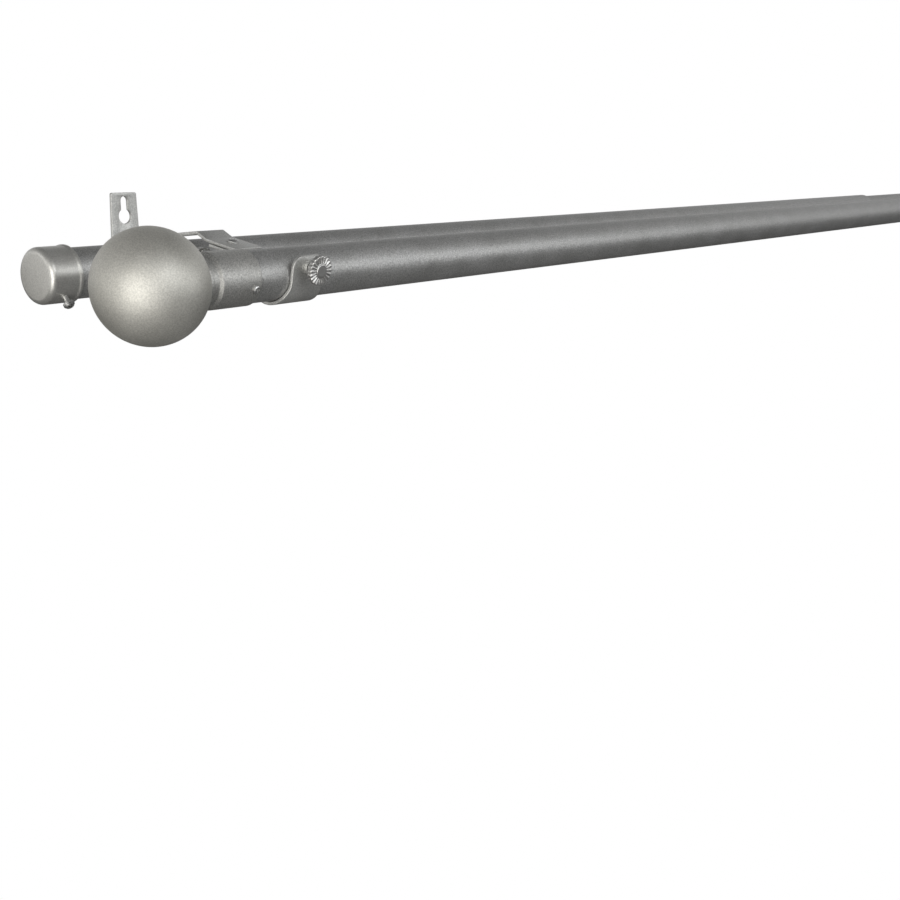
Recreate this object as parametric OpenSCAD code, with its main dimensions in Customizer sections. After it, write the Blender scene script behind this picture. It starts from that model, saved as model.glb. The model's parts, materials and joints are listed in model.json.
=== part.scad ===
// Telescoping double curtain rod on two wall brackets.
// Origin: back face of the left wall plate, at the bracket's centre and the rods' height.
// +X runs along the rods, +Y points into the wall, +Z is up.

/* [Rods] */
// Distance between the two brackets
bracket_span = 1570; // [1560:5:1580]
// Outer diameter of the larger tubes
outer_tube_d = 25.4; // [25.2:0.1:25.4]
// Outer diameter of the smaller tubes
inner_tube_d = 22.2; // [21.8:0.1:22.2]
// Wall of every tube
tube_wall = 1; // [0.8:0.1:1]
// Length of each tube
tube_length = 1143; // [1140:1:1144]
// Distance from the wall to the front rod's axis
front_projection = 124.3; // [123:0.1:125]
// Distance from the wall to the back rod's axis
back_projection = 41.8; // [41.5:0.1:42]

/* [Wall plate] */
// Width of the wall plate at its top
plate_top_w = 16.8; // [16:0.2:18]
// Width of the wall plate at its bottom
plate_bottom_w = 21.6; // [20:0.2:23]
// Height of the plate's top edge above the rods' axis
plate_top_z = 37; // [36:0.5:40]
// Depth of the plate's bottom edge below the rods' axis
plate_bottom_z = 36; // [34:1:40]
// Thickness of the wall plate
plate_t = 1.6; // [1.5:0.1:1.8]
// Radius of the round part of the keyhole
keyhole_r = 4.1; // [4:0.05:4.2]
// Width of the keyhole's slot
keyhole_slot_w = 4.6; // [4.4:0.1:4.7]
// Radius of the lower wall screw hole
wall_hole_r = 2.4; // [2.2:0.1:2.6]

/* [Arm] */
// Width of the arm's strap
arm_w = 18; // [17:0.5:18]
// Thickness of the arm's strap
arm_t = 1.8; // [1.6:0.1:1.8]
// Slope of the arm's tail
tail_slope = 11; // [10.5:0.1:11.5]
// Distance from the wall to the adjusting screw
arm_screw_y = 86.8; // [86.5:0.1:87]

/* [Cradles] */
// Inner radius of a cradle
cradle_r = 13.1; // [13:0.05:13.2]
// Thickness of a cradle's strap
cradle_t = 1.7; // [1.6:0.1:1.7]
// Length of the saddle along the rod, at its bottom
saddle_w = 25.2; // [24:0.2:27]
// Width of the tongue that carries the thumbscrew
tongue_w = 21.2; // [20:0.2:22]
// Straight length of the tongue
tongue_len = 12.2; // [12:0.1:12.5]
// Radius of the tongue's top corners
tongue_corner = 6; // [5:0.5:7]
// Outward lean of the tongue
tongue_lean = 10; // [9:0.5:11]

/* [Thumbscrews] */
// Radius of the knurled knob
knob_r = 7.4; // [7:0.1:7.5]
// Thickness of the knurled knob
knob_t = 2.6; // [2.4:0.1:2.8]
// Number of ridges on the knob
knob_ridges = 20; // [16:1:24]

/* [Finials and caps] */
// Radius of the ball
ball_r = 26.6; // [26.5:0.1:27]
// Outer radius of the finial's socket
socket_r = 13.6; // [13.6:0.05:13.8]
// Length of the finial's socket
socket_len = 24; // [22:1:26]
// Outer radius of the end caps
cap_r = 13.9; // [13.8:0.05:14]
// Length of the end caps
cap_len = 17.7; // [17:0.1:18]

/* [Hidden] */
$fn = 96;
EPS = 0.01;

front_y = -front_projection;
back_y = -back_projection;
outer_r = outer_tube_d / 2;
inner_r = inner_tube_d / 2;

// The right bracket sits higher, so that the thinner tubes rest in its cradles
right_lift = outer_r - inner_r;
// Room left between parts that move on each other
gap = 0.35;
// Radial clearance of a push fit
fit = 0.05;

// Axial places on the left-hand side; the right-hand side mirrors them
ball_x = -84;
collar_x = ball_x + 24.1;
socket_x = ball_x + 31;
front_tube_x = socket_x + 1;
cap_x = -86.5;
cap_wall = 1.2;
back_tube_x = cap_x + cap_wall + 0.3;

// Side profile of the arm's upper face, from the foot to the tail
ridge = [-70.3, 19];
dip = [-77.1, 15.5];
tail_end_y = -98.8;
foot_y = -plate_t;
foot_bottom_z = -17;
shoulder = [foot_y, 12.6];
tail_end = [tail_end_y, dip[1] - (dip[0] - tail_end_y) * tan(tail_slope)];
root_slope = atan((ridge[1] - shoulder[1]) / (shoulder[0] - ridge[0]));
foot_rivet_z = [7, -10];
cradle_rivet_y = [-21.5, -13.8];
rivet_r = 1.8;

// Slotted flange of the front cradle, under the arm's tail
flange_back_y = -78.8;
slot_half_w = 2.4;
slot_y = [-103.3, -82.8];
arm_screw_r = 2;

// Thumbscrew, along its own axis: distances from the rod's axis
screw_r = 2;
boss_r = 3.6;
boss_out = 1.8;
tongue_face = cradle_r + cradle_t;
screw_height = 6.4;
screw_tip = 14.2;
knob_back = 20.8;

spigot_r = boss_r - 0.8;

// Finial stud and set screws: places along X and angles below the front
stud_r = 3;
finial_screw_x = ball_x + 51.3;
finial_screw_below = 20;
finial_screw_r = 1.2;
cap_screw_x = ball_x + 7;
cap_screw_below = 48;
cap_screw_r = 1.5;

painted = [0.60, 0.59, 0.56];
bright = [0.78, 0.77, 0.74];
zinc = [0.66, 0.66, 0.68];
nylon = [0.90, 0.90, 0.87];

// ---- strap outlines -------------------------------------------------------

function unit(v) = v / norm(v);
function left_of(v) = [-v[1], v[0]];
function reversed(p) = [for (i = [len(p) - 1:-1:0]) p[i]];

// Round the corner b of the line a-b-c with the radius r, in n steps
function bend(a, b, c, r, n) =
    let (u = unit(a - b), v = unit(c - b),
         half = acos(u * v) / 2,
         centre = b + unit(u + v) * r / sin(half),
         start = b + u * r / tan(half) - centre,
         side = sign(u[0] * v[1] - u[1] * v[0]),
         sweep = side * (2 * half - 180))
    [for (i = [0:n])
        let (t = sweep * i / n)
        centre + [start[0] * cos(t) - start[1] * sin(t),
                  start[0] * sin(t) + start[1] * cos(t)]];

// A line whose inner corners are all rounded
function bent(p, r, n = 6) = [
    p[0],
    for (i = [1:len(p) - 2]) each bend(p[i - 1], p[i], p[i + 1], r, n),
    p[len(p) - 1]
];

// The same line moved to its left by d, with mitred corners
function beside(p, d) = [
    for (i = [0:len(p) - 1])
        let (last = len(p) - 1,
             a = unit(p[max(i, 1)] - p[max(i, 1) - 1]),
             b = unit(p[min(i, last - 1) + 1] - p[min(i, last - 1)]),
             m = unit(left_of(a) + left_of(b)))
        p[i] + m * d / (m * left_of(b))
];

function arc(r, from, to, n) = [
    for (i = [0:n]) let (t = from + (to - from) * i / n) [r * cos(t), r * sin(t)]
];

// A strap of thickness t to the left of the line p, drawn in Y and Z, and w wide along X
module strap(p, t, w) {
    rotate([90, 0, 90])
        linear_extrude(w, center = true)
            polygon(concat(p, reversed(beside(p, t))));
}

// A round bar along X
module bar_x(r, x, length) {
    translate([x, 0, 0])
        rotate([0, 90, 0])
            cylinder(r = r, h = length);
}

// A solid of revolution about X: the profile is drawn as distance along X and radius
module turned_x(profile) {
    rotate([0, 90, 0])
        mirror([1, 0, 0])
            rotate_extrude()
                polygon([for (q = profile) [q[1], q[0]]]);
}

// A round bar square to the arm's upper face, at a distance y from the wall
module across_strap(y, z, slope, r, low, high) {
    translate([0, y, z])
        rotate([slope, 0, 0])
            translate([0, 0, low])
                cylinder(r = r, h = high - low);
}

function root_z(y) = shoulder[1] + (shoulder[0] - y) * tan(root_slope);
function tail_z(y) = dip[1] - (dip[0] - y) * tan(tail_slope);

// A cross-shaped driver recess, cut down from z = 0
module cross_recess(size, depth) {
    for (a = [0, 90])
        rotate(a)
            translate([-size / 2, -size / 8, -depth])
                cube([size, size / 4, depth + 1]);
}

// A pan head that stands on z = 0
module pan_head(r, h) {
    difference() {
        union() {
            cylinder(r = r, h = h * 0.55);
            translate([0, 0, h * 0.55 - EPS])
                cylinder(r1 = r, r2 = r * 0.72, h = h * 0.45 + EPS);
        }
        translate([0, 0, h])
            cross_recess(r * 1.15, h * 0.55);
    }
}

// ---- bracket --------------------------------------------------------------

module wall_plate() {
    corner = 1.2;
    keyhole_z = 24.3;
    slot_top_z = 35;
    screw_hole_z = -28;
    color(painted)
        difference() {
            rotate([90, 0, 0])
                linear_extrude(plate_t)
                    polygon([
                        [-plate_bottom_w / 2 + corner, -plate_bottom_z],
                        [plate_bottom_w / 2 - corner, -plate_bottom_z],
                        [plate_bottom_w / 2, -plate_bottom_z + corner],
                        [plate_top_w / 2, plate_top_z - corner],
                        [plate_top_w / 2 - corner, plate_top_z],
                        [-plate_top_w / 2 + corner, plate_top_z],
                        [-plate_top_w / 2, plate_top_z - corner],
                        [-plate_bottom_w / 2, -plate_bottom_z + corner]
                    ]);
            plate_hole(keyhole_r, keyhole_z);
            plate_hole(keyhole_slot_w / 2, slot_top_z - keyhole_slot_w / 2);
            plate_hole(wall_hole_r, screw_hole_z);
            translate([-keyhole_slot_w / 2, -plate_t - 1, keyhole_z])
                cube([keyhole_slot_w, plate_t + 2, slot_top_z - keyhole_slot_w / 2 - keyhole_z]);
            for (z = foot_rivet_z)
                plate_hole(rivet_r + fit, z);
        }
}

module plate_hole(r, z) {
    translate([0, 1, z])
        rotate([90, 0, 0])
            cylinder(r = r, h = plate_t + 2);
}

module arm() {
    color(painted)
        difference() {
            strap(bent([[foot_y, foot_bottom_z], shoulder, ridge, dip, tail_end], 3), arm_t, arm_w);
            for (z = foot_rivet_z)
                translate([0, 1, z])
                    rotate([90, 0, 0])
                        cylinder(r = rivet_r + fit, h = 8);
            for (y = cradle_rivet_y)
                across_strap(y, root_z(y), -root_slope, rivet_r + fit, -4, 2);
            across_strap(-arm_screw_y, tail_z(-arm_screw_y), tail_slope, arm_screw_r + fit, -4, 2);
        }
}

module foot_rivets() {
    color(painted)
        for (z = foot_rivet_z)
            translate([0, 0, z])
                rotate([90, 0, 0])
                    union() {
                        cylinder(r = rivet_r, h = plate_t + arm_t + EPS);
                        translate([0, 0, plate_t + arm_t])
                            cylinder(r1 = 3.2, r2 = 2.2, h = 1.2);
                    }
}

module cradle_rivets() {
    color(painted)
        for (y = cradle_rivet_y)
            translate([0, y, root_z(y)])
                rotate([-root_slope, 0, 0]) {
                    translate([0, 0, -arm_t - cradle_t - EPS])
                        cylinder(r = rivet_r, h = arm_t + cradle_t + 2 * EPS);
                    cylinder(r1 = 3.2, r2 = 2.2, h = 1.1);
                    translate([0, 0, -arm_t - cradle_t - 0.9])
                        cylinder(r1 = 2.2, r2 = 3, h = 0.9);
                }
}

module arm_screw() {
    head_r = 3;
    head_h = 1.5;
    shank = 9;
    color(zinc)
        translate([0, -arm_screw_y, tail_z(-arm_screw_y)])
            rotate([tail_slope, 0, 0]) {
                pan_head(head_r, head_h);
                translate([0, 0, -shank])
                    cylinder(r = arm_screw_r, h = shank + EPS);
            }
}

module arm_nut() {
    nut_r = 4;
    nut_h = 2.6;
    drop = arm_t + cradle_t + 2 * gap;
    color(zinc)
        translate([0, -arm_screw_y, tail_z(-arm_screw_y)])
            rotate([tail_slope, 0, 0])
                translate([0, 0, -drop - nut_h])
                    difference() {
                        cylinder(r = nut_r, h = nut_h, $fn = 6);
                        translate([0, 0, -1])
                            cylinder(r = arm_screw_r + fit / 2, h = nut_h + 2);
                    }
}

// Half width of the saddle as it widens from the tongue down to its bottom
function saddle_half_w(z, top_w) =
    let (t = max(0, min(1, (-5 - z) / (tongue_face - 5))))
    top_w / 2 + (saddle_w - top_w) / 2 * t * t * (3 - 2 * t);

// Outline of one side of a cradle, seen along Y
module cradle_outline(top_w, top_z, corner) {
    low = -tongue_face - 1;
    steps = 16;
    rise = [for (i = [0:steps]) low + (-4 - low) * i / steps];
    polygon(concat(
        [for (z = rise) [saddle_half_w(z, top_w), z]],
        [for (q = arc(corner, 0, 90, 8)) q + [top_w / 2 - corner, top_z - corner]],
        [for (q = arc(corner, 90, 180, 8)) q + [corner - top_w / 2, top_z - corner]],
        [for (z = reversed(rise)) [-saddle_half_w(z, top_w), z]]
    ));
}

// The hook of a cradle about its rod's axis; flange is the far end of its flange
module cradle(corner_z, flange, slotted) {
    tongue_top = [-cradle_r * cos(tongue_lean) - tongue_len * sin(tongue_lean),
                  tongue_len * cos(tongue_lean) - cradle_r * sin(tongue_lean)];
    leg = bent([[cradle_r, 0], [cradle_r, corner_z], flange], 2.4, 5);
    path = concat([tongue_top], arc(cradle_r, 180 + tongue_lean, 360, 30),
                  [for (i = [1:len(leg) - 1]) leg[i]]);
    intersection() {
        strap(path, -cradle_t, saddle_w + 2);
        union() {
            rotate([90, 0, 0])
                linear_extrude(tongue_face + 8)
                    cradle_outline(tongue_w, tongue_top[1] + cradle_t / 4, tongue_corner);
            mirror([0, 1, 0])
                rotate([90, 0, 0])
                    linear_extrude(tongue_face + 40)
                        cradle_outline(arm_w, 30, 1);
        }
    }
}

// The thumbscrew's own axis as +Z, counted outwards from the rod's axis
module on_screw_axis() {
    rotate([tongue_lean, 0, 0])
        translate([0, 0, screw_height])
            rotate([90, 0, 0])
                children();
}

module rear_cradle() {
    corner_y = back_y + cradle_r;
    end_y = -9;
    drop = arm_t / cos(root_slope);
    color(painted)
        difference() {
            translate([0, back_y, 0])
                difference() {
                    cradle(root_z(corner_y) - drop, [end_y - back_y, root_z(end_y) - drop]);
                    on_screw_axis()
                        cylinder(r = spigot_r + fit, h = 30);
                }
            for (y = cradle_rivet_y)
                across_strap(y, root_z(y), -root_slope, rivet_r + fit, -8, 2);
        }
}

module front_cradle() {
    corner_y = front_y + cradle_r;
    drop = (arm_t + gap) / cos(tail_slope);
    color(painted)
        difference() {
            translate([0, front_y, 0])
                difference() {
                    cradle(tail_z(corner_y) - drop, [flange_back_y - front_y, tail_z(flange_back_y) - drop]);
                    on_screw_axis()
                        cylinder(r = spigot_r + fit, h = 30);
                }
            for (y = slot_y)
                across_strap(y, tail_z(y), tail_slope, slot_half_w, -8, 4);
            translate([0, slot_y[0], tail_z(slot_y[0])])
                rotate([tail_slope, 0, 0])
                    translate([-slot_half_w, 0, -8])
                        cube([2 * slot_half_w, (slot_y[1] - slot_y[0]) / cos(tail_slope), 12]);
        }
}

module boss(rod_y) {
    color(bright)
        translate([0, rod_y, 0])
            on_screw_axis()
                difference() {
                    union() {
                        translate([0, 0, cradle_r + 0.1])
                            cylinder(r = spigot_r, h = cradle_t);
                        translate([0, 0, tongue_face + EPS])
                            cylinder(r = boss_r, h = boss_out);
                    }
                    cylinder(r = screw_r + fit, h = 30);
                }
}

module thumbscrew(rod_y) {
    hub_r = 3.3;
    hub_t = 0.4;
    notch = 0.7;
    pitch = 360 / knob_ridges;
    color(bright)
        translate([0, rod_y, 0])
            on_screw_axis()
                difference() {
                    union() {
                        translate([0, 0, screw_tip])
                            cylinder(r = screw_r, h = knob_back - screw_tip + EPS);
                        translate([0, 0, knob_back])
                            cylinder(r = knob_r, h = knob_t);
                        translate([0, 0, knob_back + knob_t - EPS])
                            cylinder(r = hub_r, h = hub_t + EPS);
                    }
                    for (i = [0:knob_ridges - 1]) {
                        rotate(i * pitch)
                            translate([knob_r, 0, knob_back - 1])
                                rotate(45)
                                    translate([-notch / 2, -notch / 2, 0])
                                        cube([notch, notch, knob_t + 2]);
                        rotate((i + 0.5) * pitch)
                            translate([hub_r + 0.5, 0, knob_back + knob_t])
                                rotate([45, 0, 0])
                                    translate([0, -notch / 2, -notch / 2])
                                        cube([knob_r, notch, notch]);
                    }
                }
}

// ---- finials and caps -----------------------------------------------------

module finial_ball() {
    shell = 2;
    seat_r = 8.5;
    seat_len = 14;
    seat_z = collar_x - ball_x;
    color(painted)
        translate([ball_x, 0, 0])
            rotate([0, 90, 0])
                rotate_extrude()
                    difference() {
                        union() {
                            difference() {
                                circle(ball_r);
                                circle(ball_r - shell);
                            }
                            translate([0, seat_z - seat_len])
                                square([seat_r, seat_len]);
                        }
                        translate([-2 * ball_r, -2 * ball_r])
                            square([2 * ball_r, 4 * ball_r]);
                        translate([0, seat_z])
                            square(2 * ball_r);
                        translate([0, seat_z - seat_len - 1])
                            square([stud_r + fit, seat_len + 2]);
                    }
}

module finial_stud() {
    color(zinc)
        bar_x(stud_r, collar_x - 12, 12 + 5.5);
}

// Turned collar: a bead against the ball, a waist, then the socket for the tube
module finial_collar(bore_r) {
    bead_r = 12.5;
    waist_r = 11.9;
    mouth = socket_x + socket_len;
    color(painted)
        difference() {
            turned_x([
                [collar_x, 0],
                [collar_x, bead_r - 0.8],
                [collar_x + 0.8, bead_r],
                [collar_x + 1.8, bead_r],
                [collar_x + 2.4, waist_r],
                [socket_x - 1.2, waist_r],
                [socket_x, socket_r - 0.4],
                [socket_x + 0.6, socket_r],
                [mouth - 0.4, socket_r],
                [mouth, socket_r - 0.3],
                [mouth, 0]
            ]);
            bar_x(bore_r, socket_x + 0.8, socket_len);
            bar_x(stud_r + fit, collar_x - 1, 6.6);
            set_screw_place(finial_screw_x, finial_screw_below)
                cylinder(r = finial_screw_r + fit, h = 20);
        }
}

// +Z becomes the outward radius at the given angle below the front of a rod
module set_screw_place(x, below) {
    translate([x, 0, 0])
        rotate([90 + below, 0, 0])
            children();
}

module finial_screw(seat_r) {
    color(zinc)
        set_screw_place(finial_screw_x, finial_screw_below) {
            translate([0, 0, seat_r])
                cylinder(r = finial_screw_r, h = socket_r - seat_r + 0.1);
            translate([0, 0, socket_r])
                pan_head(2, 1.1);
        }
}

module end_cap(bore_r) {
    shoulder_r = 3;
    rim_r = cap_r + 0.5;
    color(painted)
        translate([cap_x, back_y, 0])
            difference() {
                turned_x(concat(
                    [[0, 0]],
                    [for (q = arc(shoulder_r, 180, 90, 10)) q + [shoulder_r, cap_r - shoulder_r]],
                    [[cap_len - 2, cap_r],
                     [cap_len - 1.2, rim_r],
                     [cap_len - 0.3, rim_r],
                     [cap_len, rim_r - 0.3],
                     [cap_len, 0]]
                ));
                bar_x(bore_r, cap_wall, cap_len);
                set_screw_place(cap_screw_x - cap_x, cap_screw_below)
                    cylinder(r = cap_screw_r + fit, h = 20);
            }
}

module cap_screw(seat_r) {
    stand_off = 3.4;
    color(zinc)
        translate([0, back_y, 0])
            set_screw_place(cap_screw_x, cap_screw_below) {
                translate([0, 0, seat_r])
                    cylinder(r = cap_screw_r, h = cap_r + stand_off - seat_r + EPS);
                translate([0, 0, cap_r + stand_off])
                    pan_head(2.75, 2);
            }
}

// ---- tubes ----------------------------------------------------------------

module tube(r, x, y) {
    color(painted)
        translate([0, y, 0])
            difference() {
                bar_x(r, x, tube_length);
                bar_x(r - tube_wall, x - 1, tube_length + 2);
            }
}

// Nylon plug on the inner end of a smaller tube, whose flange guides it in the larger one
module tube_plug(x, y) {
    flange_r = outer_r - tube_wall - 0.3;
    stem_r = inner_r - tube_wall - fit;
    flange_t = 3;
    stem = 14;
    color(nylon)
        translate([x - flange_t, y, 0])
            difference() {
                union() {
                    bar_x(flange_r, 0, flange_t);
                    bar_x(stem_r, flange_t - EPS, stem);
                }
                bar_x(stem_r - 2, -1, flange_t + stem + 2);
            }
}

// The right-hand rod ends, and the right-hand bracket
module on_right() {
    translate([bracket_span, 0, 0])
        mirror([1, 0, 0])
            children();
}

module on_right_bracket() {
    translate([0, 0, right_lift])
        on_right()
            children();
}

front_inner_x = bracket_span - front_tube_x - tube_length;
back_inner_x = bracket_span - back_tube_x - tube_length;

wall_plate();  // left_wall_plate
arm();  // left_arm
foot_rivets();  // left_foot_rivets
rear_cradle();  // left_rear_cradle
cradle_rivets();  // left_cradle_rivets
arm_screw();  // left_arm_screw
arm_nut();  // left_arm_nut
boss(back_y);  // left_rear_boss
thumbscrew(back_y);  // left_rear_thumbscrew
front_cradle();  // left_front_cradle
boss(front_y);  // left_front_boss
thumbscrew(front_y);  // left_front_thumbscrew
translate([0, front_y, 0]) finial_ball();  // left_finial_ball
translate([0, front_y, 0]) finial_collar(outer_r + fit);  // left_finial_collar
translate([0, front_y, 0]) finial_stud();  // left_finial_stud
translate([0, front_y, 0]) finial_screw(outer_r + fit);  // left_finial_screw
end_cap(outer_r + fit);  // left_end_cap
cap_screw(outer_r + fit);  // left_cap_screw
tube(outer_r, front_tube_x, front_y);  // front_outer_tube
tube(outer_r, back_tube_x, back_y);  // back_outer_tube
on_right_bracket() wall_plate();  // right_wall_plate
on_right_bracket() arm();  // right_arm
on_right_bracket() foot_rivets();  // right_foot_rivets
on_right_bracket() rear_cradle();  // right_rear_cradle
on_right_bracket() cradle_rivets();  // right_cradle_rivets
on_right_bracket() arm_screw();  // right_arm_screw
on_right_bracket() arm_nut();  // right_arm_nut
on_right_bracket() boss(back_y);  // right_rear_boss
on_right_bracket() thumbscrew(back_y);  // right_rear_thumbscrew
on_right_bracket() front_cradle();  // right_front_cradle
on_right_bracket() boss(front_y);  // right_front_boss
on_right_bracket() thumbscrew(front_y);  // right_front_thumbscrew
on_right() translate([0, front_y, 0]) finial_ball();  // right_finial_ball
on_right() translate([0, front_y, 0]) finial_collar(inner_r + fit);  // right_finial_collar
on_right() translate([0, front_y, 0]) finial_stud();  // right_finial_stud
on_right() translate([0, front_y, 0]) finial_screw(inner_r + fit);  // right_finial_screw
on_right() end_cap(inner_r + fit);  // right_end_cap
on_right() cap_screw(inner_r + fit);  // right_cap_screw
tube(inner_r, front_inner_x, front_y);  // front_inner_tube
tube(inner_r, back_inner_x, back_y);  // back_inner_tube
tube_plug(front_inner_x, front_y);  // front_tube_plug
tube_plug(back_inner_x, back_y);  // back_tube_plug
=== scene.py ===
"""Looks of the telescoping double curtain rod: satin nickel paint, bright screws, soft studio light."""
import json
import math

import bmesh
import bpy
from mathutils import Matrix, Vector


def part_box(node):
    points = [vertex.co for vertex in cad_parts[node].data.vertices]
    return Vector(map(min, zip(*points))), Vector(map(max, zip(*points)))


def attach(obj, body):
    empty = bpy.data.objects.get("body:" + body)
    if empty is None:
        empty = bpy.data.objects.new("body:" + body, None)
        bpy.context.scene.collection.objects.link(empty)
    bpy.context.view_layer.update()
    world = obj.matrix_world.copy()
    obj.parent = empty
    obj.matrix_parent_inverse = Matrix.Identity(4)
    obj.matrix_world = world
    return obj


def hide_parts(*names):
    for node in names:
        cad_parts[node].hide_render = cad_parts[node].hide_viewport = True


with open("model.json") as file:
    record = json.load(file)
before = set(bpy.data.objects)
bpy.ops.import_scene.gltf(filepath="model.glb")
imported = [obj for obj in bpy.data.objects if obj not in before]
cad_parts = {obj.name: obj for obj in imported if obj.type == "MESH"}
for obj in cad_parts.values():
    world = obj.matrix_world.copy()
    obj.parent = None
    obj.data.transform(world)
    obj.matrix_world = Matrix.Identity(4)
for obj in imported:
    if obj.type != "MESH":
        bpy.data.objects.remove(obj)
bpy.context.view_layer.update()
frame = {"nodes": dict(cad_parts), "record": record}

MM = 0.001
BODY_OF = {n: b for b, nodes in frame["record"]["behaviour"]["bodies"].items() for n in nodes}
SLOT_OF = {s["node"]: s["material_slot"] for s in frame["record"]["subparts"]}
SHARP_ANGLE = math.radians(32)


# ---- places, all from the frame, in millimetres ----------------------------

def box_mm(node):
    """Lowest and highest corner of a CAD node."""
    low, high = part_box(node)
    return low / MM, high / MM


def centre_mm(node):
    """Middle of a CAD node's box."""
    low, high = box_mm(node)
    return (low + high) / 2


def radius_mm(node):
    """Radius of a round CAD node whose axis lies along the rods."""
    low, high = box_mm(node)
    return (high.z - low.z) / 2


SPAN = centre_mm("right_wall_plate").x - centre_mm("left_wall_plate").x
LIFT = centre_mm("right_wall_plate").z - centre_mm("left_wall_plate").z
FRONT_Y = centre_mm("front_outer_tube").y
BACK_Y = centre_mm("back_outer_tube").y
OUTER_R = radius_mm("front_outer_tube")
INNER_R = radius_mm("front_inner_tube")
TUBE_WALL = 1.0
TUBE_END_R = 0.25


# ---- plane curves -----------------------------------------------------------

def arc(centre, radius, start, end, steps):
    """Points of an arc in a plane, angles in degrees."""
    points = []
    for i in range(steps + 1):
        a = math.radians(start + (end - start) * i / steps)
        points.append((centre[0] + radius * math.cos(a), centre[1] + radius * math.sin(a)))
    return points


def fillet(a, b, c, radius, steps):
    """The corner b of the line a-b-c, rounded."""
    a, b, c = Vector(a), Vector(b), Vector(c)
    u, v = (a - b).normalized(), (c - b).normalized()
    half = u.angle(v) / 2
    centre = b + (u + v).normalized() * radius / math.sin(half)
    start = b + u * radius / math.tan(half) - centre
    side = 1 if u.x * v.y - u.y * v.x > 0 else -1
    sweep = side * (2 * half - math.pi)
    points = []
    for i in range(steps + 1):
        t = sweep * i / steps
        points.append((centre.x + start.x * math.cos(t) - start.y * math.sin(t),
                       centre.y + start.x * math.sin(t) + start.y * math.cos(t)))
    return points


def rounded(points, radii, steps=4):
    """A line whose inner corners are rounded, each by its own radius."""
    out = [tuple(points[0])]
    for i in range(1, len(points) - 1):
        if radii[i - 1] > 0:
            out += fillet(points[i - 1], points[i], points[i + 1], radii[i - 1], steps)
        else:
            out.append(tuple(points[i]))
    out.append(tuple(points[-1]))
    return out


def densified(points, step):
    """The same line with no stretch longer than step."""
    out = [tuple(points[0])]
    for p, q in zip(points, points[1:]):
        n = max(1, math.ceil(math.dist(p, q) / step))
        out += [(p[0] + (q[0] - p[0]) * i / n, p[1] + (q[1] - p[1]) * i / n) for i in range(1, n + 1)]
    return out


# ---- making pieces ----------------------------------------------------------

def add_piece(name, verts, faces, node, material):
    """A new closed mesh, in millimetres, that stands for one CAD node and rides on its body."""
    mesh = bpy.data.meshes.new(name)
    mesh.from_pydata([tuple(c * MM for c in v) for v in verts], [], faces)
    bm = bmesh.new()
    bm.from_mesh(mesh)
    bmesh.ops.remove_doubles(bm, verts=bm.verts, dist=1e-7)
    bmesh.ops.recalc_face_normals(bm, faces=bm.faces)
    bm.to_mesh(mesh)
    bm.free()
    mesh.polygons.foreach_set("use_smooth", [True] * len(mesh.polygons))
    mesh.set_sharp_from_angle(angle=SHARP_ANGLE)
    piece = bpy.data.objects.new(name, mesh)
    bpy.context.scene.collection.objects.link(piece)
    mesh.materials.append(material)
    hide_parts(node)
    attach(piece, BODY_OF[node])


def ring_faces(start, count, other):
    """Quads between two rings of the same count."""
    return [(start + i, start + (i + 1) % count, other + (i + 1) % count, other + i) for i in range(count)]


def joined_rings(rings, segments, closed=False):
    """Faces between neighbouring rings, given as (first vertex, count). A count of 1 is a pole."""
    pairs = list(zip(rings, rings[1:]))
    if closed:
        pairs.append((rings[-1], rings[0]))
    faces = []
    for (a, na), (b, nb) in pairs:
        if na == nb == segments:
            faces += ring_faces(a, segments, b)
        elif na != nb:
            pole, ring = (a, b) if na == 1 else (b, a)
            faces += [(pole, ring + i, ring + (i + 1) % segments) for i in range(segments)]
    return faces


def lathe(profile, y, closed=False, segments=128):
    """Revolves a line of (x, radius) about the X axis of a rod. A radius of 0 becomes a pole."""
    verts, rings = [], []
    for x, r in profile:
        if r < 1e-6:
            rings.append((len(verts), 1))
            verts.append((x, y, 0.0))
            continue
        rings.append((len(verts), segments))
        for i in range(segments):
            a = 2 * math.pi * i / segments
            verts.append((x, y + r * math.cos(a), r * math.sin(a)))
    return verts, joined_rings(rings, segments, closed)


def on_right(verts, lift=0.0):
    """The mirror image at the right-hand end."""
    return [(SPAN - x, y, z + lift) for x, y, z in verts]


def strap(path, thickness, half_width, edge=0.35):
    """A bent strip. The path runs along (y, z) on one face and the thickness lies to its left.
    half_width(s, rest, y, z) is given the distances from both ends and the place on the path.
    edge is the radius of every edge."""
    fine = [edge * (1 - math.cos(math.radians(a))) for a in (0, 30, 60, 90)]
    path = stations(path, fine)
    lengths = [0.0]
    for p, q in zip(path, path[1:]):
        lengths.append(lengths[-1] + math.dist(p, q))
    verts, rings = [], []
    for i, (y, z) in enumerate(path):
        before, after = path[max(i - 1, 0)], path[min(i + 1, len(path) - 1)]
        along = Vector((after[0] - before[0], after[1] - before[1])).normalized()
        across = Vector((-along.y, along.x))
        s, rest = lengths[i], lengths[-1] - lengths[i]
        near = min(s, rest, edge)
        inset = edge - math.sqrt(max(0.0, edge ** 2 - (edge - near) ** 2))
        w = half_width(s, rest, y, z) - inset
        low, high = inset, thickness - inset
        e = max(0.02, edge - inset)
        rings.append(len(verts))
        for cx, cn, start in ((w - e, high - e, 0), (e - w, high - e, 90),
                              (e - w, low + e, 180), (w - e, low + e, 270)):
            for px, pn in arc((cx, cn), e, start, start + 90, 3):
                verts.append((px, y + across.x * pn, z + across.y * pn))
    count = len(verts) // len(rings)
    faces = []
    for a, b in zip(rings, rings[1:]):
        faces += ring_faces(a, count, b)
    faces += [tuple(range(count)), tuple(rings[-1] + i for i in range(count))]
    return verts, faces


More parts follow.
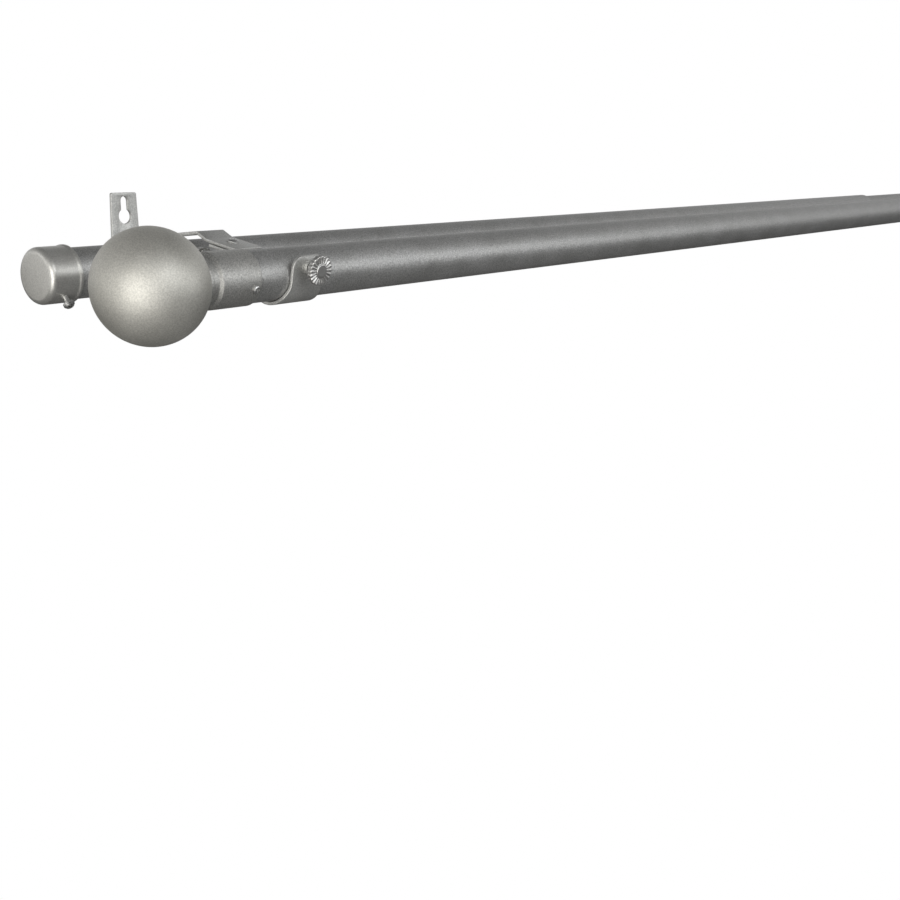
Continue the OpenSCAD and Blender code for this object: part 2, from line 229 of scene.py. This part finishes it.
def stations(path, fine):
    """Adds stations close to both ends of a line, at the given distances."""
    for _ in range(2):
        u = (Vector(path[1]) - Vector(path[0])).normalized()
        head = [tuple(Vector(path[0]) + u * d) for d in fine]
        path = (head + [p for p in path[1:] if math.dist(p, path[0]) > fine[-1] + 0.01])[::-1]
    return path


# ---- materials --------------------------------------------------------------

def shader(name):
    """A new material, its node tree and its main shader."""
    material = bpy.data.materials.new(name)
    material.use_nodes = True
    tree = material.node_tree
    return material, tree, tree.nodes["Principled BSDF"]


def noise(tree, scale, detail=2.0, roughness=0.5, stretch=None):
    """Noise on the piece's own coordinates, in metres."""
    coordinates = tree.nodes.new("ShaderNodeTexCoord")
    texture = tree.nodes.new("ShaderNodeTexNoise")
    texture.inputs["Scale"].default_value = scale
    texture.inputs["Detail"].default_value = detail
    texture.inputs["Roughness"].default_value = roughness
    source = coordinates.outputs["Object"]
    if stretch:
        mapping = tree.nodes.new("ShaderNodeMapping")
        mapping.inputs["Scale"].default_value = stretch
        tree.links.new(source, mapping.inputs["Vector"])
        source = mapping.outputs["Vector"]
    tree.links.new(source, texture.inputs["Vector"])
    return texture.outputs["Fac"]


def ramp(tree, value, stops):
    """Colours over a value: stops are (position, colour)."""
    node = tree.nodes.new("ShaderNodeValToRGB")
    elements = node.color_ramp.elements
    while len(elements) < len(stops):
        elements.new(0.5)
    for element, (position, colour) in zip(elements, stops):
        element.position = position
        element.color = (*colour, 1.0)
    tree.links.new(value, node.inputs["Fac"])
    return node.outputs["Color"]


def remap(tree, value, low, high, from_low=0.3, from_high=0.7):
    """A value stretched from one range to another, and held at its ends."""
    node = tree.nodes.new("ShaderNodeMapRange")
    node.inputs["From Min"].default_value = from_low
    node.inputs["From Max"].default_value = from_high
    node.inputs["To Min"].default_value = low
    node.inputs["To Max"].default_value = high
    tree.links.new(value, node.inputs["Value"])
    return node.outputs["Result"]


def mix(tree, a, b, share, how="MULTIPLY"):
    """Two colours mixed: b is a colour or a socket, and share is a number or a socket."""
    node = tree.nodes.new("ShaderNodeMix")
    node.data_type = "RGBA"
    node.blend_type = how
    if isinstance(share, float):
        node.inputs["Factor"].default_value = share
    else:
        tree.links.new(share, node.inputs["Factor"])
    tree.links.new(a, node.inputs["A"])
    if isinstance(b, tuple):
        node.inputs["B"].default_value = (*b, 1.0)
    else:
        tree.links.new(b, node.inputs["B"])
    return node.outputs["Result"]


def bump(tree, height, strength, distance, under=None):
    """A bump over the plain surface, or over the bump given as under."""
    node = tree.nodes.new("ShaderNodeBump")
    node.inputs["Strength"].default_value = strength
    node.inputs["Distance"].default_value = distance
    tree.links.new(height, node.inputs["Height"])
    if under:
        tree.links.new(under, node.inputs["Normal"])
    return node.outputs["Normal"]


def shade(colour, factor):
    return tuple(c * factor for c in colour)


def nickel_paint(name, colour, rough, grain=0.2, painted_edge_highlight=0.0):
    """Metallic paint: fine flake speckle, faint clouding, slight orange peel, and optionally a painted
    highlight that lightens sharp convex edges.
    """
    material, tree, main = shader(name)
    flake = noise(tree, 1500.0, 2.0, 0.65)
    cloud = noise(tree, 45.0, 3.0, 0.55)
    peel = noise(tree, 420.0, 1.0, 0.4)
    speckled = ramp(tree, flake, [(0.32, shade(colour, 1 - grain)), (0.5, colour),
                                  (0.68, shade(colour, 1 + grain))])
    clouded = mix(tree, speckled, ramp(tree, cloud, [(0.3, (0.86, 0.86, 0.85)), (0.7, (1, 1, 1))]), 1.0)
    # painted highlight: sharp convex edges (high pointiness) are lightened, standing in for edges that
    # catch the light
    if painted_edge_highlight:
        geometry = tree.nodes.new("ShaderNodeNewGeometry")
        edge = remap(tree, geometry.outputs["Pointiness"], 0.0, painted_edge_highlight, 0.52, 0.6)
        clouded = mix(tree, clouded, shade(colour, 1.5), edge, "MIX")
    tree.links.new(clouded, main.inputs["Base Color"])
    tree.links.new(remap(tree, cloud, rough - 0.04, rough + 0.04), main.inputs["Roughness"])
    fine = bump(tree, flake, 0.35, 0.00006)
    tree.links.new(bump(tree, peel, 0.25, 0.00008, fine), main.inputs["Normal"])
    main.inputs["Metallic"].default_value = 0.8
    return material


def plated(name, colour, rough, scratch=0.12):
    """Bright plating with fine turning lines and small tonal changes."""
    material, tree, main = shader(name)
    lines = noise(tree, 900.0, 3.0, 0.6, (1.0, 0.15, 1.0))
    cloud = noise(tree, 220.0, 3.0, 0.5)
    tone = ramp(tree, cloud, [(0.3, shade(colour, 0.86)), (0.7, colour)])
    tree.links.new(tone, main.inputs["Base Color"])
    tree.links.new(remap(tree, lines, rough, rough + scratch), main.inputs["Roughness"])
    tree.links.new(bump(tree, lines, 0.2, 0.00003), main.inputs["Normal"])
    main.inputs["Metallic"].default_value = 1.0
    return material


def moulded(name, colour):
    """Natural nylon: slightly waxy, with faint flow marks."""
    material, tree, main = shader(name)
    flow = noise(tree, 160.0, 3.0, 0.6, (0.3, 1.0, 1.0))
    tree.links.new(ramp(tree, flow, [(0.3, shade(colour, 0.92)), (0.7, colour)]), main.inputs["Base Color"])
    tree.links.new(remap(tree, flow, 0.42, 0.55), main.inputs["Roughness"])
    tree.links.new(bump(tree, flow, 0.15, 0.0001), main.inputs["Normal"])
    return material


MATERIALS = {
    "tube_finish": nickel_paint("tube_nickel", (0.45, 0.45, 0.445), 0.48, 0.34),
    "finial_finish": nickel_paint("finial_nickel", (0.59, 0.58, 0.54), 0.54, 0.16),
    "cap_finish": nickel_paint("cap_nickel", (0.60, 0.595, 0.57), 0.38, 0.14),
    # the bracket paint carries a painted highlight along its sharp edges
    "bracket_finish": nickel_paint("bracket_nickel", (0.58, 0.58, 0.565), 0.47, 0.2, painted_edge_highlight=0.5),
    "bright_nickel": plated("knob_nickel", (0.62, 0.615, 0.60), 0.36),
    "steel_hardware": plated("screw_steel", (0.62, 0.62, 0.61), 0.30),
    "nylon": moulded("natural_nylon", (0.80, 0.79, 0.75)),
}
COLLAR_NICKEL = nickel_paint("collar_nickel", (0.49, 0.487, 0.47), 0.48, 0.30)


def finish_of(node):
    """The collars are sprayed with the tubes, and the pressed bosses with the brackets."""
    if node.endswith("_collar"):
        return COLLAR_NICKEL
    if node.endswith("_boss"):
        return MATERIALS["bracket_finish"]
    return MATERIALS[SLOT_OF[node]]


# ---- tubes ------------------------------------------------------------------

def make_tube(node):
    """A rolled tube with softly broken ends."""
    low, high = box_mm(node)
    y, r = (low.y + high.y) / 2, radius_mm(node)
    inner = r - TUBE_WALL
    e = TUBE_END_R
    profile = [*arc((low.x + e, r - e), e, 180, 90, 3), *arc((high.x - e, r - e), e, 90, 0, 3),
               *arc((high.x - e, inner + e), e, 0, -90, 3), *arc((low.x + e, inner + e), e, -90, -180, 3)]
    verts, faces = lathe(profile, y, closed=True)
    add_piece(node + "_rolled", verts, faces, node, finish_of(node))


for tube in ("front_outer_tube", "front_inner_tube", "back_outer_tube", "back_inner_tube"):
    make_tube(tube)


# ---- finials and caps -------------------------------------------------------

BALL_R = radius_mm("left_finial_ball")
BALL_X = box_mm("left_finial_ball")[0].x + BALL_R
COLLAR_X = box_mm("left_finial_collar")[0].x
MOUTH_X = box_mm("left_finial_collar")[1].x
SOCKET_R = radius_mm("left_finial_collar")
SOCKET_LEN = 24.0
WAIST_R = 11.9
BEAD_R = 12.5
CAP_LOW, CAP_HIGH = box_mm("left_end_cap")
CAP_RIM_R = radius_mm("left_end_cap")
BORE_CLEARANCE = 0.05


def ball_profile():
    """A ball with a flat seat where it meets its collar."""
    seat = COLLAR_X - BALL_X
    seat_angle = math.degrees(math.acos(seat / BALL_R))
    outside = arc((BALL_X, 0), BALL_R, 180, seat_angle + 1.0, 72)
    seat_r = BALL_R * math.sin(math.radians(seat_angle))
    return outside + [(COLLAR_X - 0.05, seat_r - 0.25), (COLLAR_X, seat_r - 0.6), (COLLAR_X, 0)]


def collar_profile(bore):
    """Bead against the ball, waist, then a cove up to the socket with its stepped mouth."""
    x0 = COLLAR_X
    socket_x = MOUTH_X - SOCKET_LEN
    outline = [(x0, 0), (x0, 11.6), (x0 + 0.5, BEAD_R), (x0 + 1.9, BEAD_R), (x0 + 2.5, WAIST_R),
               (socket_x - 1.3, WAIST_R), (socket_x, SOCKET_R - 0.1), (socket_x + 1.0, SOCKET_R),
               (MOUTH_X - 0.6, SOCKET_R), (MOUTH_X, SOCKET_R - 0.35), (MOUTH_X, bore),
               (socket_x + 0.8, bore), (socket_x + 0.8, 0)]
    return rounded(outline, [0.3, 0.45, 0.45, 0.3, 0.6, 0.5, 1.2, 0.3, 0.15, 0.15, 0.1])


def cap_profile(bore):
    """A drawn cap: flat face, full shoulder and a rolled rim at its mouth."""
    x0, x1 = CAP_LOW.x, CAP_HIGH.x
    side = CAP_RIM_R - 0.5
    outline = [(x0, 0), (x0, side), (x1 - 2.4, side), (x1 - 1.5, CAP_RIM_R), (x1 - 0.4, CAP_RIM_R),
               (x1, CAP_RIM_R - 0.3), (x1, bore), (x0 + 1.2, bore), (x0 + 1.2, 0)]
    return rounded(outline, [3.0, 1.0, 0.5, 0.3, 0.15, 0.15, 0.2], 8)


for side_name, tube_r in (("left", OUTER_R), ("right", INNER_R)):
    bore_r = tube_r + BORE_CLEARANCE
    for node, profile, rod_y in ((side_name + "_finial_ball", ball_profile(), FRONT_Y),
                                 (side_name + "_finial_collar", collar_profile(bore_r), FRONT_Y),
                                 (side_name + "_end_cap", cap_profile(bore_r), BACK_Y)):
        verts, faces = lathe(profile, rod_y)
        if side_name == "right":
            verts = on_right(verts)
        add_piece(node + "_turned", verts, faces, node, finish_of(node))


# ---- bracket straps ---------------------------------------------------------

ARM_T = 1.8
ARM_HALF_W = 9.0
PLATE_T = box_mm("left_wall_plate")[1].y - box_mm("left_wall_plate")[0].y
TAIL_SLOPE = 11.0
FLANGE_BACK_Y = -78.8
SLOT_Y = (-103.3, -82.8)
SLOT_HALF_W = 2.4
SHOULDER = (-PLATE_T, 12.6)
RIDGE = (-70.3, 19.0)
DIP = (-77.1, 15.5)
TAIL_Y = -98.8
CRADLE_R = 13.1
CRADLE_T = 1.7
SADDLE_HALF_W = 12.6
TONGUE_HALF_W = 10.6
TONGUE_LEN = 12.2
TONGUE_LEAN = 10.0
TONGUE_CORNER = 6.0
WIDENS_FROM = 4.4248
WIDENS_TO = 13.0973
REAR_FLANGE_END = -9.0
GAP = 0.35
SLOT_CUT_FROM = -8.0
SLOT_CUT_TO = 4.0
ROOT_SLOPE = math.degrees(math.atan((RIDGE[1] - SHOULDER[1]) / (SHOULDER[0] - RIDGE[0])))


def root_z(y):
    """Height of the arm's upper face between the wall and the ridge."""
    return SHOULDER[1] + (SHOULDER[0] - y) * math.tan(math.radians(ROOT_SLOPE))


def tail_z(y):
    """Height of the arm's upper face on its sloping tail."""
    return DIP[1] - (DIP[0] - y) * math.tan(math.radians(TAIL_SLOPE))


def arm_strap():
    """From the wall plate over the back rod, then down to the tail that carries the front cradle."""
    outline = [(-PLATE_T, -17.0), SHOULDER, RIDGE, DIP, (TAIL_Y, tail_z(TAIL_Y))]
    path = densified(rounded(outline, [3.0, 3.0, 3.0], 8), 4.0)
    return strap(path, ARM_T, lambda s, rest, y, z: ARM_HALF_W)


def cradle_strap(rod_y, corner_z, flange_end):
    """From the far end of the flange, down behind the rod, under it and up to the tongue's top."""
    lean = math.radians(TONGUE_LEAN)
    top = (rod_y - CRADLE_R * math.cos(lean) - TONGUE_LEN * math.sin(lean),
           TONGUE_LEN * math.cos(lean) - CRADLE_R * math.sin(lean))
    leg = rounded([flange_end, (rod_y + CRADLE_R, corner_z), (rod_y + CRADLE_R, 0.0)], [2.4], 8)
    hook = arc((rod_y, 0), CRADLE_R, 360, 180 + TONGUE_LEAN, 44)
    tangent = hook[-1]
    straight = densified([tangent, top], 1.0)
    path = densified(leg, 2.0)[:-1] + hook + straight[1:-1]
    down = (Vector(tangent) - Vector(top)).normalized()
    for a in (60, 70, 80):
        d = TONGUE_CORNER * (1 - math.sin(math.radians(a)))
        path.append(tuple(Vector(top) + down * d))
    path.append(top)

    def half_width(s, rest, y, z):
        """Widest under the rod, and rounded off at the tongue's top."""
        front = y < rod_y
        narrow = TONGUE_HALF_W if front else ARM_HALF_W
        depth = min(1.0, max(0.0, (-z - WIDENS_FROM) / (WIDENS_TO - WIDENS_FROM)))
        w = narrow + (SADDLE_HALF_W - narrow) * depth * depth * (3 - 2 * depth)
        if front and rest < TONGUE_CORNER:
            w += math.sqrt(TONGUE_CORNER ** 2 - (TONGUE_CORNER - rest) ** 2) - TONGUE_CORNER
        return w

    return strap(path, CRADLE_T, half_width)


def slot_cutter():
    """A block with the adjusting slot's outline, square to the sloping tail."""
    slope = math.radians(TAIL_SLOPE)
    outline = arc((0, SLOT_Y[1]), SLOT_HALF_W, 0, 180, 16) + arc((0, SLOT_Y[0]), SLOT_HALF_W, 180, 360, 16)
    n = len(outline)
    verts = [(x, y - h * math.sin(slope), tail_z(y) + h * math.cos(slope))
             for h in (SLOT_CUT_FROM, SLOT_CUT_TO) for x, y in outline]
    return verts, ring_faces(0, n, n) + [tuple(range(n)), tuple(range(n, 2 * n))]


def front_cradle_strap():
    """The cradle under the arm's tail, with the slot that lets it slide there."""
    drop = (ARM_T + GAP) / math.cos(math.radians(TAIL_SLOPE))
    back = FLANGE_BACK_Y
    verts, faces = cradle_strap(FRONT_Y, tail_z(FRONT_Y + CRADLE_R) - drop, (back, tail_z(back) - drop))
    return cut(verts, faces, *slot_cutter())


def cut(verts, faces, tool_verts, tool_faces):
    """One closed mesh with another cut out of it."""
    solids = []
    for v, f in ((verts, faces), (tool_verts, tool_faces)):
        mesh = bpy.data.meshes.new("solid")
        mesh.from_pydata(v, [], f)
        bm = bmesh.new()
        bm.from_mesh(mesh)
        bmesh.ops.recalc_face_normals(bm, faces=bm.faces)
        bm.to_mesh(mesh)
        bm.free()
        solid = bpy.data.objects.new("solid", mesh)
        bpy.context.scene.collection.objects.link(solid)
        solids.append(solid)
    difference = solids[0].modifiers.new("cut", "BOOLEAN")
    difference.operation = "DIFFERENCE"
    difference.solver = "EXACT"
    difference.object = solids[1]
    bpy.context.view_layer.update()
    depsgraph = bpy.context.evaluated_depsgraph_get()
    mesh = bpy.data.meshes.new_from_object(solids[0].evaluated_get(depsgraph))
    for solid in solids:
        bpy.data.objects.remove(solid)
    return [tuple(v.co) for v in mesh.vertices], [tuple(q.vertices) for q in mesh.polygons]


def rear_cradle_strap():
    """The cradle riveted under the arm's root."""
    drop = ARM_T / math.cos(math.radians(ROOT_SLOPE))
    back = REAR_FLANGE_END
    return cradle_strap(BACK_Y, root_z(BACK_Y + CRADLE_R) - drop, (back, root_z(back) - drop))


PLATE_EDGE_R = 0.22
PLATE_TOP_HALF_W = 8.4
KEYHOLE_R = 4.1
KEYHOLE_Z = 24.3
KEYHOLE_SLOT_HALF_W = 2.3
KEYHOLE_TOP = 35.0
LOWER_HOLE_R = 2.4
LOWER_HOLE_Z = -28.0


def wall_plate_mesh():
    """A stamped plate with a keyhole, a lower screw hole and softened edges, from a filled curve."""
    low, high = box_mm("left_wall_plate")
    curve = bpy.data.curves.new("plate_outline", "CURVE")
    curve.dimensions = "2D"
    curve.fill_mode = "BOTH"
    curve.extrude = (PLATE_T / 2 - PLATE_EDGE_R) * MM
    curve.bevel_depth = PLATE_EDGE_R * MM
    curve.bevel_resolution = 2
    curve.offset = -PLATE_EDGE_R * MM
    corners = [(high.x, low.z), (PLATE_TOP_HALF_W, high.z), (-PLATE_TOP_HALF_W, high.z), (low.x, low.z)]
    start = (0, low.z)
    body = rounded([start, *corners, start], [1.6, 1.1, 1.1, 1.6], 6)[:-1]
    meet = math.degrees(math.asin(KEYHOLE_SLOT_HALF_W / KEYHOLE_R))
    key = [*arc((0, KEYHOLE_Z), KEYHOLE_R, 90 + meet, 450 - meet, 40),
           *arc((0, KEYHOLE_TOP - KEYHOLE_SLOT_HALF_W), KEYHOLE_SLOT_HALF_W, 0, 180, 16)]
    hole = arc((0, LOWER_HOLE_Z), LOWER_HOLE_R, 0, 360, 32)[:-1]
    for outline in (body, key, hole):
        spline = curve.splines.new("POLY")
        spline.points.add(len(outline) - 1)
        spline.use_cyclic_u = True
        for point, (x, z) in zip(spline.points, outline):
            point.co = (x * MM, z * MM, 0, 1)
    holder = bpy.data.objects.new("plate_outline", curve)
    bpy.context.scene.collection.objects.link(holder)
    bpy.context.view_layer.update()
    mesh = bpy.data.meshes.new_from_object(holder.evaluated_get(bpy.context.evaluated_depsgraph_get()))
    middle = (low.y + high.y) / 2
    verts = [(v.co.x / MM, middle - v.co.z / MM, v.co.y / MM) for v in mesh.vertices]
    faces = [tuple(p.vertices) for p in mesh.polygons]
    bpy.data.objects.remove(holder)
    return verts, faces


# ---- thumbscrews ------------------------------------------------------------

SCREW_HEIGHT = 6.4
SCREW_TIP = 14.2
KNOB_BACK = 20.8
KNOB_R = 7.4
KNOB_T = 2.6
HUB_R = 3.3
HUB_T = 0.4
SCREW_R = 2.0
RIDGES = 20
PER_RIDGE = 12
FACE_GROOVE = 0.45
RIM_GROOVE = 0.3


def thumbscrew_rows(face):
    """Rings of the knob and its screw as (radius, height, groove's share), from the hub to the tip."""
    rows = [(0, face + HUB_T, 0)]
    rows += [(r, face + HUB_T, 0) for r in (1.2, 2.2, 2.6)]
    rows += [(r, z, 0) for r, z in arc((HUB_R - 0.5, face + HUB_T - 0.5), 0.5, 90, 20, 4)]
    rows += [(HUB_R + 0.1, face - 0.05, 0), (HUB_R + 0.3, face - 0.1, 0)]
    rows += [(HUB_R + 0.55, face - 0.04, 0.6)]
    rows += [(r, face, 1) for r in (4.3, 5.0, 5.7, 6.3)]
    rows += [(r, z, 1) for r, z in arc((KNOB_R - 0.55, face - 0.55), 0.55, 90, 0, 5)]
    rows += [(KNOB_R, face - 1.1, 1), (KNOB_R, KNOB_BACK + 0.8, 1)]
    rows += [(r, z, 0.6) for r, z in arc((KNOB_R - 0.4, KNOB_BACK + 0.4), 0.4, 0, -90, 4)]
    rows += [(5.6, KNOB_BACK, 0), (3.4, KNOB_BACK, 0)]
    rows += [(3.1, KNOB_BACK - 0.3, 0), (SCREW_R, KNOB_BACK - 0.3, 0)]
    rows += thread_rows(SCREW_TIP + 0.4, KNOB_BACK - 0.4)
    return rows + [(SCREW_R - 0.1, SCREW_TIP + 0.35, 0), (SCREW_R - 0.45, SCREW_TIP, 0), (0, SCREW_TIP, 0)]


def thumbscrew_mesh(rod_y):
    """A knurled knob: rounded ridges run out over its face and down its rim, round a smooth hub."""
    face = KNOB_BACK + KNOB_T
    count = RIDGES * PER_RIDGE
    lean = math.radians(TONGUE_LEAN)
    verts, rings = [], []
    for r, z, share in thumbscrew_rows(face):
        n = 1 if r == 0 else count
        rings.append((len(verts), n))
        for i in range(n):
            a = 2 * math.pi * i / count
            ridge = (0.5 + 0.5 * math.cos(RIDGES * a)) ** 0.5
            groove = share * (1 - ridge)
            radius = r - (RIM_GROOVE * groove if r > KNOB_R - 0.6 else 0.0)
            height = z - (FACE_GROOVE * groove if z > face - 0.5 else 0.0)
            px, pz = radius * math.cos(a), radius * math.sin(a) + SCREW_HEIGHT
            verts.append((px, rod_y - height * math.cos(lean) - pz * math.sin(lean),
                          pz * math.cos(lean) - height * math.sin(lean)))
    return verts, joined_rings(rings, count)


def thread_rows(low, high, pitch=0.7, depth=0.28):
    """Rings of a fine thread between two heights, from the top down."""
    turns = int((high - low) / pitch)
    rows = []
    for i in range(turns):
        top = high - i * pitch
        rows += [(SCREW_R, top, 0), (SCREW_R, top - 0.12, 0), (SCREW_R - depth, top - 0.35, 0),
                 (SCREW_R - depth, top - 0.42, 0)]
    return rows


BRACKET_MESHES = {
    "wall_plate": wall_plate_mesh(),
    "arm": arm_strap(),
    "front_cradle": front_cradle_strap(),
    "rear_cradle": rear_cradle_strap(),
    "front_thumbscrew": thumbscrew_mesh(FRONT_Y),
    "rear_thumbscrew": thumbscrew_mesh(BACK_Y),
}
for part_name, (verts, faces) in BRACKET_MESHES.items():
    for side_name in ("left", "right"):
        node = side_name + "_" + part_name
        shown = verts if side_name == "left" else on_right(verts, LIFT)
        add_piece(node + "_formed", shown, faces, node, finish_of(node))


# ---- CAD nodes that stay: small hardware gets broken edges and a finish ------

def soften(node, width):
    """Merges the frame's split vertices and rounds the hard edges of a small CAD part."""
    piece = frame["nodes"][node]
    weld = piece.modifiers.new("weld", "WELD")
    weld.merge_threshold = 1e-6
    edges = piece.modifiers.new("edges", "BEVEL")
    edges.width = width * MM
    edges.segments = 2
    edges.limit_method = "ANGLE"
    edges.angle_limit = math.radians(35)
    edges.use_clamp_overlap = True
    piece.data.polygons.foreach_set("use_smooth", [True] * len(piece.data.polygons))
    normals = piece.modifiers.new("normals", "WEIGHTED_NORMAL")
    normals.keep_sharp = False


SMALL_EDGES = {"foot_rivets": 0.2, "cradle_rivets": 0.2, "arm_screw": 0.15, "arm_nut": 0.2,
               "rear_boss": 0.2, "front_boss": 0.2, "finial_screw": 0.06, "cap_screw": 0.12,
               "finial_stud": 0.2}
OTHER_EDGES = 0.3
for node, piece in frame["nodes"].items():
    if piece.hide_render:
        continue
    piece.data.materials.clear()
    piece.data.materials.append(finish_of(node))
    short = node.split("_", 1)[1]
    soften(node, SMALL_EDGES.get(short, OTHER_EDGES))


# ---- camera, lights and floor -----------------------------------------------

CAMERA_LENS = 48.72
CAMERA_AT = (-0.43257, -0.55699, 0.0550)
CAMERA_DOWN = 13.451
CAMERA_TURN = -52.607
FLOOR_Z = -0.9
FLOOR_HALF = 20.0
WARM = (1.0, 0.985, 0.95)
COOL = (0.97, 0.985, 1.0)


def make_camera():
    data = bpy.data.cameras.new("camera")
    data.sensor_width = 36.0
    data.lens = CAMERA_LENS
    data.clip_start = 0.01
    data.clip_end = 60.0
    camera = bpy.data.objects.new("camera", data)
    bpy.context.scene.collection.objects.link(camera)
    camera.location = CAMERA_AT
    camera.rotation_euler = (math.radians(90 - CAMERA_DOWN), 0.0, math.radians(CAMERA_TURN))
    bpy.context.scene.camera = camera


def area_light(name, direction, distance, size, power, colour):
    """A rectangular softbox that faces the left-hand finial from the given direction."""
    target = Vector((BALL_X * MM, FRONT_Y * MM, 0))
    data = bpy.data.lights.new(name, "AREA")
    data.shape = "RECTANGLE"
    data.size, data.size_y = size
    data.energy = power
    data.color = colour
    light = bpy.data.objects.new(name, data)
    bpy.context.scene.collection.objects.link(light)
    towards = Vector(direction).normalized()
    light.location = target + towards * distance
    light.rotation_euler = towards.to_track_quat("Z", "Y").to_euler()


def make_world():
    """White behind the object, a softer gradient as what the metal reflects."""
    world = bpy.data.worlds.new("studio")
    bpy.context.scene.world = world
    world.use_nodes = True
    tree = world.node_tree
    back = tree.nodes["Background"]
    path = tree.nodes.new("ShaderNodeLightPath")
    coordinates = tree.nodes.new("ShaderNodeTexCoord")
    split = tree.nodes.new("ShaderNodeSeparateXYZ")
    tree.links.new(coordinates.outputs["Generated"], split.inputs["Vector"])
    sky = ramp(tree, remap(tree, split.outputs["Z"], 0, 1, -1.0, 1.0),
               [(0.0, (0.2, 0.2, 0.2)), (0.5, (0.42, 0.42, 0.42)), (0.56, (0.75, 0.75, 0.755)),
                (0.68, (0.6, 0.6, 0.6)), (0.85, (0.2, 0.2, 0.2)), (1.0, (0.12, 0.12, 0.12))])
    seen = mix(tree, sky, (1.0, 1.0, 1.0), path.outputs["Is Camera Ray"], "MIX")
    tree.links.new(seen, back.inputs["Color"])


def make_floor(height, half):
    """A plain pale floor, which the metal sees darker than the eye does."""
    mesh = bpy.data.meshes.new("floor")
    mesh.from_pydata([(-half, -half, height), (half, -half, height), (half, half, height),
                      (-half, half, height)], [], [(0, 1, 2, 3)])
    floor = bpy.data.objects.new("floor", mesh)
    bpy.context.scene.collection.objects.link(floor)
    material = bpy.data.materials.new("pale_floor")
    material.use_nodes = True
    tree = material.node_tree
    tree.nodes.remove(tree.nodes["Principled BSDF"])
    path = tree.nodes.new("ShaderNodeLightPath")
    pale = tree.nodes.new("ShaderNodeEmission")
    pale.inputs["Color"].default_value = (1.0, 1.0, 1.0, 1)
    dim = tree.nodes.new("ShaderNodeBsdfDiffuse")
    dim.inputs["Color"].default_value = (0.22, 0.22, 0.22, 1)
    choose = tree.nodes.new("ShaderNodeMixShader")
    tree.links.new(path.outputs["Is Camera Ray"], choose.inputs["Fac"])
    tree.links.new(dim.outputs["BSDF"], choose.inputs[1])
    tree.links.new(pale.outputs["Emission"], choose.inputs[2])
    tree.links.new(choose.outputs["Shader"], tree.nodes["Material Output"].inputs["Surface"])
    mesh.materials.append(material)


make_camera()
make_world()
make_floor(FLOOR_Z, FLOOR_HALF)
area_light("key", (-0.86, -0.42, -0.08), 1.5, (1.3, 1.5), 18.6, WARM)
area_light("fill", (-0.04, -0.854, 0.40), 1.6, (1.1, 0.7), 7.0, COOL)
area_light("side", (0.66, -0.74, 0.16), 2.0, (1.0, 0.8), 3.6, COOL)
area_light("back_left", (-0.80, 0.60, -0.03), 1.8, (1.4, 1.2), 3.2, WARM)
bpy.context.scene.view_settings.view_transform = "Standard"
